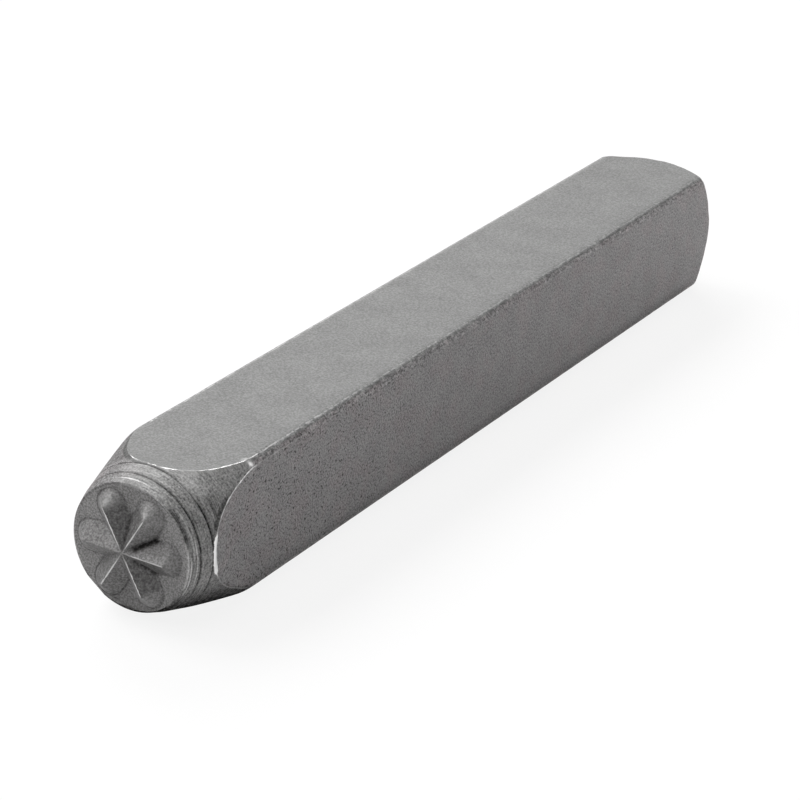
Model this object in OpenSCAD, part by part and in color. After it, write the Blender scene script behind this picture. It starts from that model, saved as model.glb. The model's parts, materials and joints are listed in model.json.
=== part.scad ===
// Steel marking stamp: one solid steel punch, lying on a flat of its square shank.
// The marking face points along -Y, the struck end along +Y, and +Z is up.
// The origin is under the middle of the stamp, level with the lowest point of the nose.

/* [Shank] */
// Length from the crest of the mark to the struck end
overall_length = 65; // [45:1:120]
// Width across the milled flats
across_flats = 8; // [7.6:0.1:8.4]
// Diameter of the round bar that the stamp is turned from
bar_diameter = 10.9; // [10.2:0.1:12]
// Radius that the milling cutter leaves where each flat runs out at the nose
runout_radius = 2.4; // [1.8:0.1:5]
// Height of the turned nose above the middle of each flat, where the flat ends
lip_height = 0.37; // [0.2:0.01:0.6]

/* [Nose] */
// Diameter of the marking face
face_diameter = 7.6; // [7.2:0.1:8]
// Length of the steep land between the marking face and the front groove
rim_land = 0.81; // [0.5:0.01:1.2]
// Angle between that land and the axis
rim_angle = 20; // [12:1:30]
// Angle between the rest of the turned nose and the axis
nose_angle = 15.6; // [12:0.1:20]
// Distance between the front and the rear groove
groove_spacing = 0.86; // [0.5:0.01:1]
// Width of each turned groove at the surface
groove_width = 0.16; // [0.08:0.01:0.2]
// Depth of each turned groove
groove_depth = 0.07; // [0.03:0.01:0.12]

/* [Struck end] */
// Diameter of the flat face that the hammer strikes
struck_diameter = 7.2; // [5:0.1:8]
// Angle between the chamfer around that face and the axis
chamfer_angle = 45; // [30:1:60]

/* [Mark] */
// Height of the mark above the marking face
mark_height = 0.84; // [0.4:0.02:1]
// Number of petals, always even
petal_count = 6; // [4:2:8]
// Length of a petal's ridge from the centre of the flower
ridge_length = 2.65; // [2:0.05:2.8]
// Half the width of a petal where it meets the face
petal_half_width = 0.94; // [0.6:0.02:1.1]
// Turn of the flower, anticlockwise to someone who looks at the face
flower_turn = -1.5; // [-15:0.5:15]

/* [Hidden] */
$fn = 96;

// The mark is rooted this deep in the face
root_depth = 0.05;
// Cutters reach this far past what they cut
clearance = 1;

bar_radius = bar_diameter / 2;
flat_height = across_flats / 2;
face_radius = face_diameter / 2;
struck_radius = struck_diameter / 2;
groove_half = groove_width / 2;

// Places along the axis are measured from the marking face, back towards the struck end
front_groove = rim_land;
rear_groove = front_groove + groove_spacing;
front_groove_radius = face_radius + rim_land * tan(rim_angle);
nose_end = nose_place(bar_radius);
end_place = overall_length - mark_height;
chamfer_place = end_place - (bar_radius - struck_radius) / tan(chamfer_angle);

// Radius of the nose at a place behind the front groove, and the place where it has a radius
function nose_radius(place) = front_groove_radius + (place - front_groove) * tan(nose_angle);
function nose_place(radius) = front_groove + (radius - front_groove_radius) / tan(nose_angle);

// Each flat ends at the lip, and the cutter starts to rise from it at flat_start
lip_place = nose_place(flat_height + lip_height);
runout_length = sqrt(2 * runout_radius * lip_height - pow(lip_height, 2));
flat_start = lip_place + runout_length;

// The middle of the stamp's length goes to the origin, and its axis to this height
middle_place = (end_place - mark_height) / 2;
axis_height = flat_height + lip_height;

// Turned blank: nose with its two grooves, round bar and chamfered struck end
module turned_blank() {
    rotate_extrude()
        polygon([
            [0, 0],
            [face_radius, 0],
            [front_groove_radius - groove_half * tan(rim_angle), front_groove - groove_half],
            [front_groove_radius - groove_depth, front_groove],
            [nose_radius(front_groove + groove_half), front_groove + groove_half],
            [nose_radius(rear_groove - groove_half), rear_groove - groove_half],
            [nose_radius(rear_groove) - groove_depth, rear_groove],
            [nose_radius(rear_groove + groove_half), rear_groove + groove_half],
            [bar_radius, nose_end],
            [bar_radius, chamfer_place],
            [struck_radius, end_place],
            [0, end_place]
        ]);
}

// Path of the milling cutter over one flat, with its round run-out at the nose
module flat_cutter() {
    depth = bar_radius - flat_height + clearance;
    rotate([90, 0, 0])
        linear_extrude(bar_diameter + 2 * clearance, center = true)
            union() {
                translate([flat_height, flat_start])
                    square([depth, end_place - flat_start + clearance]);
                translate([flat_height + runout_radius, flat_start])
                    circle(runout_radius);
            }
}

// Two opposite petals: one straight ridge through the centre with a conical tip at each end
module petal_pair() {
    height = mark_height + root_depth;
    base_half = petal_half_width * height / mark_height;
    rotate([90, 0, 0])
        linear_extrude(2 * ridge_length, center = true)
            polygon([[-base_half, 0], [base_half, 0], [0, height]]);
    for (side = [0, 180])
        rotate([0, 0, side])
            translate([0, ridge_length, 0])
                rotate_extrude(angle = 180)
                    polygon([[0, 0], [base_half, 0], [0, height]]);
}

// The mark: a plain flower whose petals share one ridge height and one slope
module flower() {
    first_turn = 90 - flower_turn;
    translate([0, 0, root_depth])
        mirror([0, 0, 1])
            for (k = [0 : petal_count / 2 - 1])
                rotate([0, 0, first_turn + k * 360 / petal_count])
                    petal_pair();
}

// The whole stamp, a single piece of hardened tool steel
module marking_stamp() {
    color([0.56, 0.56, 0.55])
        translate([0, -middle_place, axis_height])
            rotate([-90, 0, 0])
                union() {
                    difference() {
                        turned_blank();
                        for (k = [0 : 3])
                            rotate([0, 0, k * 90])
                                flat_cutter();
                    }
                    flower();
                }
}

marking_stamp();
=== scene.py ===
"""Steel marking stamp: a hardened steel punch with a raised flower, lying on a pale floor."""

import json
import math
from collections import namedtuple
from types import SimpleNamespace

import bpy
import numpy as np
from bpy.props import FloatProperty, FloatVectorProperty, IntProperty, PointerProperty
from mathutils import Matrix, Vector, noise


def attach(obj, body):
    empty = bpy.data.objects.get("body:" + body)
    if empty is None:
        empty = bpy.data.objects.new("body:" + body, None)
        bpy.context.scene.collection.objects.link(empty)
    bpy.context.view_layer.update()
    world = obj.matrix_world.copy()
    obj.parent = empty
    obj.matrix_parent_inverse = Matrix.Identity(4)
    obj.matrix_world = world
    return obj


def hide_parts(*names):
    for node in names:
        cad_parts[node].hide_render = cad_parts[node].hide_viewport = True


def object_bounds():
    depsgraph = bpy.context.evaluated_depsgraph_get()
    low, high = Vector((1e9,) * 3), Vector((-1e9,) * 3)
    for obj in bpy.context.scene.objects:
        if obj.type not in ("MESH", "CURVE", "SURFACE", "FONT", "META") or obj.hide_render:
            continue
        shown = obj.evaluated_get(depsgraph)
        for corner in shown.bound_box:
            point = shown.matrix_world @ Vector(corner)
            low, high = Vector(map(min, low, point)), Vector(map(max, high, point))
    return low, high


bl_info = {
    "name": "Steel marking stamp",
    "version": (1, 0, 0),
    "blender": (4, 5, 0),
    "location": "3D View > Sidebar > Stamp",
    "description": "Builds a hardened steel marking stamp with a raised flower, and a studio round it",
    "category": "Add Mesh",
}

MM = 0.001
SOLID = "marking_stamp"
PIECE = "stamp_body"

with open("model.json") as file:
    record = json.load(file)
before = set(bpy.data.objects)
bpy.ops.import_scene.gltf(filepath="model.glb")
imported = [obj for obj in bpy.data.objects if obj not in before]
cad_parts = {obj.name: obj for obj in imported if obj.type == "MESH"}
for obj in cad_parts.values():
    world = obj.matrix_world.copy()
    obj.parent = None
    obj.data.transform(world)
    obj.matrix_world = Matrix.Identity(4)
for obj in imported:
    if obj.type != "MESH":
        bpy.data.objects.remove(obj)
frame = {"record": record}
CAD_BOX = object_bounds()
MOUNTS = {mount["name"]: Vector(mount["pos_m"]) for mount in frame["record"]["mounts"]}
AXIS_HEIGHT = MOUNTS["struck_face"].z
ACROSS_FLATS = MOUNTS["upper_flat"].z - MOUNTS["lower_flat"].z


class StampSizes(bpy.types.PropertyGroup):
    """Sizes of the stamp, the same as those of the solid that its skin covers."""

    bar_diameter: FloatProperty(
        name="Bar diameter",
        description="Diameter of the round bar that the stamp is turned from",
        default=10.9 * MM,
        unit="LENGTH",
    )
    runout_radius: FloatProperty(
        name="Run-out radius",
        description="Radius that the milling cutter leaves where each flat runs out at the nose",
        default=2.4 * MM,
        unit="LENGTH",
    )
    lip_height: FloatProperty(
        name="Lip height",
        description="Height of the turned nose above the middle of each flat, where the flat ends",
        default=0.37 * MM,
        unit="LENGTH",
    )
    face_diameter: FloatProperty(
        name="Face diameter",
        description="Diameter of the marking face",
        default=7.6 * MM,
        unit="LENGTH",
    )
    rim_land: FloatProperty(
        name="Rim land",
        description="Length of the steep land between the marking face and the front groove",
        default=0.81 * MM,
        unit="LENGTH",
    )
    rim_angle: FloatProperty(
        name="Rim angle",
        description="Angle between that land and the axis",
        default=math.radians(20),
        subtype="ANGLE",
    )
    nose_angle: FloatProperty(
        name="Nose angle",
        description="Angle between the rest of the turned nose and the axis",
        default=math.radians(15.6),
        subtype="ANGLE",
    )
    groove_spacing: FloatProperty(
        name="Groove spacing",
        description="Distance between the front and the rear groove",
        default=0.86 * MM,
        unit="LENGTH",
    )
    groove_width: FloatProperty(
        name="Groove width",
        description="Width of each turned groove at the surface",
        default=0.16 * MM,
        unit="LENGTH",
    )
    groove_depth: FloatProperty(
        name="Groove depth",
        description="Depth of each turned groove",
        default=0.07 * MM,
        unit="LENGTH",
    )
    struck_diameter: FloatProperty(
        name="Struck diameter",
        description="Diameter of the flat face that the hammer strikes",
        default=7.2 * MM,
        unit="LENGTH",
    )
    chamfer_angle: FloatProperty(
        name="Chamfer angle",
        description="Angle between the chamfer around that face and the axis",
        default=math.radians(45),
        subtype="ANGLE",
    )
    mark_height: FloatProperty(
        name="Mark height",
        description="Height of the mark above the marking face",
        default=0.84 * MM,
        unit="LENGTH",
    )
    petal_count: IntProperty(
        name="Petals",
        description="Number of petals of the flower",
        default=6,
        min=4,
        max=8,
    )
    ridge_length: FloatProperty(
        name="Ridge length",
        description="Length of a petal's ridge from the centre of the flower",
        default=2.65 * MM,
        unit="LENGTH",
    )
    petal_half_width: FloatProperty(
        name="Petal half width",
        description="Half the width of a petal where it meets the face",
        default=0.94 * MM,
        unit="LENGTH",
    )
    flower_turn: FloatProperty(
        name="Flower turn",
        description="Turn of the flower, anticlockwise to someone who looks at the face",
        default=math.radians(-1.5),
        subtype="ANGLE",
    )


class StampWear(bpy.types.PropertyGroup):
    """Small forms that turning, blasting and use leave on the steel."""

    rim_round: FloatProperty(
        name="Rim round",
        description="Radius of the worn edge round the marking face",
        default=0.09 * MM,
        unit="LENGTH",
    )
    end_round: FloatProperty(
        name="End round",
        description="Radius of the worn edge round the struck face",
        default=0.15 * MM,
        unit="LENGTH",
    )
    lip_reach: FloatProperty(
        name="Lip reach",
        description="How far the worn edge between the nose and each flat reaches",
        default=0.03 * MM,
        unit="LENGTH",
    )
    corner_reach: FloatProperty(
        name="Corner reach",
        description="How far the worn edges of the four corner bands reach",
        default=0.19 * MM,
        unit="LENGTH",
    )
    nick_depth: FloatProperty(
        name="Nick depth",
        description="Depth of the nicks along the corner bands",
        default=0.05 * MM,
        unit="LENGTH",
    )
    sag_depth: FloatProperty(
        name="Sag depth",
        description="Depth of the slow waves that blasting leaves on the flats",
        default=0.008 * MM,
        unit="LENGTH",
    )
    taper_radius: FloatProperty(
        name="Taper radius",
        description="Radius of the gentle rise of each flat, which leads into its round run-out",
        default=9.5 * MM,
        unit="LENGTH",
    )
    taper_lead: FloatProperty(
        name="Taper lead",
        description="Distance behind the round run-out where that gentle rise begins",
        default=1.2 * MM,
        unit="LENGTH",
    )
    shoulder_reach: FloatProperty(
        name="Shoulder reach",
        description="How far the round shoulder between the nose and the bar reaches",
        default=0.2 * MM,
        unit="LENGTH",
    )
    chamfer_reach: FloatProperty(
        name="Chamfer reach",
        description="How far the worn edge in front of the chamfer reaches",
        default=0.25 * MM,
        unit="LENGTH",
    )
    chip_depth: FloatProperty(
        name="Chip depth",
        description="Depth of the small worn flat low on the rim",
        default=0.07 * MM,
        unit="LENGTH",
    )
    line_depth: FloatProperty(
        name="Line depth",
        description="Depth of the turning lines on the nose",
        default=0.012 * MM,
        unit="LENGTH",
    )
    line_pitch: FloatProperty(
        name="Line pitch",
        description="Distance between two turning lines",
        default=0.19 * MM,
        unit="LENGTH",
    )
    crest_width: FloatProperty(
        name="Crest width",
        description="Width of the narrow flat that is worn along each petal's ridge",
        default=0.04 * MM,
        unit="LENGTH",
    )
    moat_depth: FloatProperty(
        name="Moat depth",
        description="Depth of the fine line engraved round the flower",
        default=0.03 * MM,
        unit="LENGTH",
    )
    moat_width: FloatProperty(
        name="Moat width",
        description="Width of the fine line engraved round the flower",
        default=0.12 * MM,
        unit="LENGTH",
    )


class SteelFinish(bpy.types.PropertyGroup):
    """Colours and roughness of the hardened steel."""

    skin_colour: FloatVectorProperty(
        name="Skin",
        description="Colour of the blasted and hardened skin of the shank",
        default=(0.351, 0.342, 0.344),
        subtype="COLOR",
    )
    bloom_colour: FloatVectorProperty(
        name="Bloom",
        description="Colour of the faint brown patches on that skin",
        default=(0.359, 0.336, 0.339),
        subtype="COLOR",
    )
    ground_colour: FloatVectorProperty(
        name="Ground steel",
        description="Colour of the upper and lower flats, which are ground smoother",
        default=(0.271, 0.271, 0.268),
        subtype="COLOR",
    )
    turned_colour: FloatVectorProperty(
        name="Turned steel",
        description="Colour of the turned nose",
        default=(0.49, 0.486, 0.482),
        subtype="COLOR",
    )
    face_colour: FloatVectorProperty(
        name="Face",
        description="Colour of the marking face and its petals",
        default=(0.305, 0.3, 0.299),
        subtype="COLOR",
    )
    # Also the colour of the painted highlights on the nose's edges, the ridges and the petals' tips
    bright_colour: FloatVectorProperty(
        name="Bright steel",
        description="Colour of edges that are rubbed bright",
        default=(0.75, 0.745, 0.74),
        subtype="COLOR",
    )
    # Also the colour of the painted shade and shadow on the flower, under the nose and in the grooves
    scale_and_shade_colour: FloatVectorProperty(
        name="Soot",
        description="Colour of the dark scale in pits, grooves and valleys",
        default=(0.022, 0.021, 0.02),
        subtype="COLOR",
    )
    roughness: FloatProperty(
        name="Roughness",
        description="Roughness of the blasted skin",
        default=0.45,
        min=0.0,
        max=1.0,
    )
    bright_roughness: FloatProperty(
        name="Bright roughness",
        description="Roughness of edges that are rubbed bright",
        default=0.35,
        min=0.0,
        max=1.0,
    )
    metal_share: FloatProperty(
        name="Metal share",
        description="Share of the blasted skin that reflects as bare metal, the rest being scale",
        default=0.25,
        min=0.0,
        max=1.0,
    )
    fine_metal_share: FloatProperty(
        name="Fine metal share",
        description="The same share on the ground flats and the turned nose",
        default=0.0,
        min=0.0,
        max=1.0,
    )
    sheen: FloatProperty(
        name="Sheen",
        description="Strength of the scale's own reflection",
        default=0.03,
        min=0.0,
        max=1.0,
    )


class StampStudio(bpy.types.PropertyGroup):
    """Floor, lamps and camera."""

    floor_colour: FloatVectorProperty(
        name="Floor",
        description="Colour of the pale floor",
        default=(0.72, 0.72, 0.72),
        subtype="COLOR",
    )
    shadow_share: FloatProperty(
        name="Shadow share",
        description="Share of the floor's own shading that is seen, the rest being plain white",
        default=0.2,
        min=0.0,
        max=1.0,
    )
    floor_lift: FloatProperty(
        name="Floor lift",
        description="Light that the floor adds to that share where it is seen directly",
        default=0.87,
        min=0.0,
    )
    fill: FloatProperty(
        name="Fill",
        description="Strength of the surround as a source of light",
        default=0.05,
        min=0.0,
    )
    camera_azimuth: FloatProperty(
        name="Azimuth",
        description="Turn of the camera round the stamp, from straight in front of the marking face",
        default=math.radians(29.91),
        subtype="ANGLE",
    )
    camera_elevation: FloatProperty(
        name="Elevation",
        description="Height of the camera above the horizon",
        default=math.radians(23.70),
        subtype="ANGLE",
    )
    camera_roll: FloatProperty(
        name="Roll",
        description="Turn of the camera about its own line of sight",
        default=math.radians(2.19),
        subtype="ANGLE",
    )
    camera_distance: FloatProperty(
        name="Distance",
        description="Distance from the camera to the point that it looks at",
        default=184.18 * MM,
        unit="LENGTH",
    )
    camera_aim: FloatVectorProperty(
        name="Aim",
        description="Point that the camera looks at",
        default=(5.375 * MM, -12.386 * MM, 7.553 * MM),
        subtype="XYZ",
        unit="LENGTH",
    )
    lens: FloatProperty(
        name="Lens",
        description="Focal length in millimetres on a sensor 36 mm wide",
        default=143.58,
    )


# Lengthwise lines of points on half a flat and on half a corner band of the shank
LINES_ON_FLAT = 22
LINES_ON_BAND = 5
# Power by which the lines on a flat crowd at its edges
FLAT_CROWDING = 1.5
# Share by which the lines on the flower crowd at its ridges and valleys
PETAL_CROWDING = 0.13
# Steps between rows of points on each stretch, from the middle of the flower to that of the struck face
FLOWER_STEPS = 30
FACE_STEPS = 8
RIM_STEPS = 6
LAND_STEPS = 24
GROOVE_STEPS = 6
CONE_STEPS = 66
RUNOUT_STEPS = 34
SHANK_STEPS = 192
SHANK_END_STEPS = 10
CHAMFER_STEPS = 8
END_EDGE_STEPS = 5
END_STEPS = 9
# Rows across the fine line round the flower, as shares of the way across
MOAT_SHARES = (0.12, 0.25, 0.4, 0.55, 0.75, 1.0)
# That way in widths of the line, and the most of the way to the rim that it may take up
MOAT_REACH = 1.1
MOAT_LIMIT = 0.8
# Steps from each edge of the flats to the rows on both sides of it
EDGE_OFFSETS = [step * MM for step in (-0.12, -0.06, -0.03, 0, 0.03, 0.06, 0.12)]
# Steepest run of an edge for which those steps still grow
MOST_LEAN = 3
# Least gap between the grooves and the first of those rows, and between one of those rows and the next
GROOVE_GAP = 0.01 * MM
ROW_GAP = 0.002 * MM
# The rows lie closer up to this far behind the end of the nose, and from this far in front of the chamfer
BEHIND_NOSE = 1.2 * MM
BEFORE_CHAMFER = 0.5 * MM
# Halvings that find the place of an edge
HALVINGS = 40

# Length of each petal's tip as a share of its half width, anticlockwise from the petal that points to +X
TIP_SHARE = (0.68, 0.8, 0.88, 0.86, 0.98, 0.96)
# Small worn flat on the rim: direction, slope, least cosine to its direction, and softness of its front
CHIP_ANGLE = math.radians(-128)
CHIP_SLOPE = 0.6
CHIP_SPREAD = 0.7
CHIP_SOFT = 0.03 * MM
# Radius that never limits another, and least sine that a number is divided by
NO_LIMIT = 1
LEAST_SINE = 1e-9
# Strength of the turning lines at the marking face, at the rear groove and at the end of the nose
LINE_FADE = (1, 0.6, 0)
# How far the turning lines wander in radians, over swells of this size that are long round the axis
LINE_WANDER = 2.5
WANDER_SWELL = 0.6 * MM
WANDER_STRETCH = (0.15, 1, 0.15)
# Sizes of the waves on the flats and of the large and the small nicks
SAG_SWELL = 5 * MM
NICK_SWELL = 0.9 * MM
SMALL_NICK_SWELL = 0.45 * MM
# How close to an edge the nicks lie, and how deep the small ones are as a share of the large ones
NICK_REACH = 0.25 * MM
SMALL_NICK_SHARE = 0.5
# The wear of the corner bands sets in between these two places from the end of the nose
BAND_START = -0.2 * MM
BAND_FULL = 1 * MM


def layout(sizes):
    """Radii and places that follow from the sizes. Places run back from the marking face along the axis."""
    plan = SimpleNamespace()
    plan.flat = ACROSS_FLATS / 2
    plan.bar = sizes.bar_diameter / 2
    plan.face = sizes.face_diameter / 2
    plan.struck = sizes.struck_diameter / 2
    plan.end = CAD_BOX[1].y - CAD_BOX[0].y - sizes.mark_height
    plan.front_groove = sizes.rim_land
    plan.rear_groove = plan.front_groove + sizes.groove_spacing
    plan.groove_radius = plan.face + sizes.rim_land * math.tan(sizes.rim_angle)
    plan.nose_end = plan.front_groove + (plan.bar - plan.groove_radius) / math.tan(sizes.nose_angle)
    plan.chamfer = plan.end - (plan.bar - plan.struck) / math.tan(sizes.chamfer_angle)
    lip_radius = plan.flat + sizes.lip_height
    lip = plan.front_groove + (lip_radius - plan.groove_radius) / math.tan(sizes.nose_angle)
    runout = math.sqrt(2 * sizes.runout_radius * sizes.lip_height - sizes.lip_height**2)
    plan.flat_start = lip + runout
    plan.corner = math.acos(plan.flat / plan.bar)
    return plan


def worn_min(first, second, reach):
    """The smaller of two radii, with the edge where they meet worn round over that reach."""
    overlap = np.maximum(reach - np.abs(first - second), 0)
    return np.minimum(first, second) - overlap**2 / (4 * reach)


def turned_radius(sizes, wear, plan, place):
    """Radius of the turned blank without its grooves."""
    rim = plan.face + place * math.tan(sizes.rim_angle)
    nose = plan.groove_radius + (place - plan.front_groove) * math.tan(sizes.nose_angle)
    front = np.where(place < plan.front_groove, rim, nose)
    chamfer = plan.struck + (plan.end - place) * math.tan(sizes.chamfer_angle)
    return worn_min(worn_min(front, plan.bar, wear.shoulder_reach), chamfer, wear.chamfer_reach)


def milled_radius(sizes, wear, plan, angle, place):
    """Distance from the axis to the nearest of the four flats, which rise towards the nose."""
    before = np.clip(plan.flat_start - place, 0, sizes.runout_radius)
    runout = sizes.runout_radius - np.sqrt(sizes.runout_radius**2 - before**2)
    taper = np.maximum(plan.flat_start + wear.taper_lead - place, 0) ** 2 / (2 * wear.taper_radius)
    rise = -worn_min(-runout, -taper, wear.lip_reach)
    return (plan.flat + rise) / np.maximum(np.abs(np.cos(angle)), np.abs(np.sin(angle)))


def meeting_place(sizes, wear, plan, angle, start, stop):
    """Place between start and stop where the turned surface comes level with the flats, at each angle."""
    near = np.full_like(angle, start)
    far = np.full_like(angle, stop)
    for _ in range(HALVINGS):
        middle = (near + far) / 2
        turned = turned_radius(sizes, wear, plan, middle)
        still_turned = turned < milled_radius(sizes, wear, plan, angle, middle)
        near = np.where(still_turned, middle, near)
        far = np.where(still_turned, far, middle)
    return (near + far) / 2


def smooth_noise(points, size):
    """Smooth noise from -1 to 1 at each point, with swells about that size."""
    scaled = (points / size).reshape(-1, 3)
    values = [noise.noise(Vector(point)) for point in scaled.tolist()]
    return np.array(values).reshape(points.shape[:-1])


def to_points(angle, radius, place):
    """Points in the frame from angle, radius and place."""
    face_y = CAD_BOX[0].y + bpy.context.scene.stamp_sizes.mark_height
    x = radius * np.cos(angle)
    z = AXIS_HEIGHT + radius * np.sin(angle)
    return np.stack([x, face_y + place, z], axis=-1)


def shank_angles(plan):
    """Angles of the lengthwise lines on the shank, which keep to the edges of the corner bands."""
    along = np.linspace(0, 1, LINES_ON_FLAT + 1)
    flat = plan.corner * (1 - (1 - along) ** FLAT_CROWDING)
    band = np.linspace(plan.corner, math.pi / 4, LINES_ON_BAND + 1)
    half = np.concatenate([flat, band[1:]])
    quarter = np.concatenate([half, math.pi / 2 - half[-2:0:-1]])
    return np.concatenate([quarter + k * math.pi / 2 for k in range(4)])


def flower_angles(sizes, lines):
    """Angles of as many lines on the flower, which crowd at its ridges and its valleys."""
    per_half, left_over = divmod(lines, 2 * sizes.petal_count)
    if left_over:
        raise ValueError(f"{lines} lines can't be shared out over {sizes.petal_count} petals")
    sector = 2 * math.pi / sizes.petal_count
    along = np.linspace(0, 1, per_half + 1)
    half = sector / 2 * (along - PETAL_CROWDING * np.sin(2 * math.pi * along))
    whole = np.concatenate([half, sector - half[-2:0:-1]])
    turns = [whole + k * sector for k in range(sizes.petal_count)]
    return sizes.flower_turn + np.concatenate(turns)


def around_petals(sizes, angle):
    """Number of the nearest petal at each angle, and the turn from its ridge."""
    sector = 2 * math.pi / sizes.petal_count
    turn = (angle - sizes.flower_turn) / sector
    petal = np.round(turn)
    return petal.astype(int) % sizes.petal_count, (turn - petal) * sector


def tip_squash(petal):
    """How many times wider than long the tip of each petal is."""
    return 1 / np.take(TIP_SHARE, petal % len(TIP_SHARE))


def ridge_distance(sizes, angle, radius):
    """Distance from the nearest petal's ridge line, in the plane of the face."""
    petal, turn = around_petals(sizes, angle)
    past_end = np.maximum(radius * np.cos(turn) - sizes.ridge_length, 0)
    return np.hypot(past_end * tip_squash(petal), radius * np.sin(turn))


def outline_radius(sizes, angle):
    """Distance from the centre to the flower's outline at each angle."""
    petal, turn = around_petals(sizes, angle)
    squash = tip_squash(petal) ** 2
    sine = np.maximum(np.abs(np.sin(turn)), LEAST_SINE)
    cosine = np.cos(turn)
    straight = sizes.petal_half_width / sine
    first = cosine**2 * squash + sine**2
    second = cosine * sizes.ridge_length * squash
    third = sizes.ridge_length**2 * squash - sizes.petal_half_width**2
    rounded = (second + np.sqrt(np.maximum(second**2 - first * third, 0))) / first
    return np.where(straight * cosine < sizes.ridge_length, straight, rounded)


def mark_surface(sizes, wear, angle, radius):
    """Height of the face at each point: petals with worn crests, and a fine moat round them."""
    distance = ridge_distance(sizes, angle, radius)
    slope = sizes.mark_height / sizes.petal_half_width
    roof = sizes.mark_height - slope * np.maximum(distance - wear.crest_width / 2, 0)
    roof = roof * sizes.petal_half_width / (sizes.petal_half_width + wear.crest_width / 2)
    outside = distance - sizes.petal_half_width
    across_moat = np.clip(outside / wear.moat_width, 0, 1)
    moat = wear.moat_depth * np.sin(math.pi * across_moat) ** 2
    return np.where(outside < 0, np.maximum(roof, 0), -moat)


def worn_edge(radius, angle, round_radius, steps):
    """Points of a worn edge between a flat end and a cone: radius, and distance from the end."""
    turn = np.linspace(0, math.pi / 2 - angle, steps + 1)
    centre = radius + round_radius * (math.tan(angle) - 1 / math.cos(angle))
    return centre + round_radius * np.sin(turn), round_radius * (1 - np.cos(turn))


def rim_chip(wear, plan, angle, place):
    """Radius of the small flat that is worn low on the rim."""
    cosine = np.cos(angle - CHIP_ANGLE)
    distance = plan.face - wear.chip_depth + CHIP_SLOPE * place
    return np.where(cosine > CHIP_SPREAD, distance / np.maximum(cosine, CHIP_SPREAD), NO_LIMIT)


def grooved_radius(sizes, wear, plan, angle, place):
    """Radius of the turned blank with its two grooves and the small flat on its rim."""
    turned = np.minimum(turned_radius(sizes, wear, plan, place), rim_chip(wear, plan, angle, place))
    for groove in (plan.front_groove, plan.rear_groove):
        off = np.abs(place - groove) / (sizes.groove_width / 2)
        turned = turned - sizes.groove_depth * np.clip(1 - off, 0, 1)
    return turned


def turning_lines(wear, plan, points, place):
    """Depth of the fine lines that turning leaves on the nose."""
    fade = np.interp(place, (0, plan.rear_groove, plan.nose_end), LINE_FADE)
    wobble = smooth_noise(points * WANDER_STRETCH, WANDER_SWELL)
    line = 0.5 + 0.5 * np.sin(2 * math.pi * place / wear.line_pitch + LINE_WANDER * wobble)
    return wear.line_depth * fade * line


def nicks(wear, points, edge_gap):
    """Depth of the large and the small nicks beside an edge that is so far away."""
    large = np.maximum(smooth_noise(points, NICK_SWELL), 0)
    small = np.maximum(smooth_noise(points, SMALL_NICK_SWELL), 0)
    near_edge = np.clip(1 - edge_gap / NICK_REACH, 0, 1)
    return wear.nick_depth * near_edge * (large + SMALL_NICK_SHARE * small)


def skin_radius(sizes, wear, plan, angle, place):
    """Radius of the finished skin behind the marking face."""
    turned = grooved_radius(sizes, wear, plan, angle, place)
    points = to_points(angle, turned, place)
    turned = turned - turning_lines(wear, plan, points, place)
    sag = wear.sag_depth * (0.5 + 0.5 * smooth_noise(points, SAG_SWELL))
    milled = milled_radius(sizes, wear, plan, angle, place) - sag
    shank = np.interp(place, (plan.nose_end + BAND_START, plan.nose_end + BAND_FULL), (0, 1))
    reach = wear.lip_reach + shank * (wear.corner_reach - wear.lip_reach)
    return worn_min(turned, milled, reach) - shank * nicks(wear, points, np.abs(turned - milled))


def rows_through(start, stretches):
    """Rows from start through stretches, each given by its end and its steps, without the last end."""
    rows = []
    for stop, count in stretches:
        stop = np.broadcast_to(stop, start.shape)
        rows += [start + (stop - start) * k / count for k in range(count)]
        start = stop
    return rows


def shank_rows(sizes, wear, plan, angle, rim_end):
    """Places of the rows from rim to chamfer, which crowd at grooves and follow the edges of the flats."""
    half = sizes.groove_width / 2
    behind_grooves = plan.rear_groove + half
    front_arc = meeting_place(sizes, wear, plan, angle, behind_grooves, plan.nose_end + BAND_FULL)
    steepness = np.abs(np.gradient(front_arc, angle)) / plan.flat
    lean = np.sqrt(1 + np.minimum(steepness, MOST_LEAN) ** 2)
    front_edge = [front_arc + step * lean for step in EDGE_OFFSETS]
    first = np.maximum(front_edge[0], behind_grooves + GROOVE_GAP)
    front_edge = [np.maximum(row, first + k * ROW_GAP) for k, row in enumerate(front_edge)]
    radius = np.minimum(milled_radius(sizes, wear, plan, angle, np.full_like(angle, plan.end)), plan.bar)
    back_arc = plan.end - (radius - plan.struck) / math.tan(sizes.chamfer_angle)
    before_arc = (
        (plan.front_groove - half, LAND_STEPS),
        (plan.front_groove + half, GROOVE_STEPS),
        (plan.rear_groove - half, LAND_STEPS),
        (behind_grooves, GROOVE_STEPS),
        (first, CONE_STEPS),
    )
    behind_arc = (
        (plan.nose_end + BEHIND_NOSE, RUNOUT_STEPS),
        (plan.chamfer - BEFORE_CHAMFER, SHANK_STEPS),
        (back_arc + EDGE_OFFSETS[0], SHANK_END_STEPS),
    )
    rows = rows_through(np.full_like(angle, rim_end), before_arc)
    rows += front_edge[:-1]
    rows += rows_through(front_edge[-1], behind_arc)
    return rows + [back_arc + step for step in EDGE_OFFSETS]


def inner_shares(count):
    """Shares of a way that is cut in as many equal steps, without its two ends."""
    return np.linspace(0, 1, count + 1)[1:-1]


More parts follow.
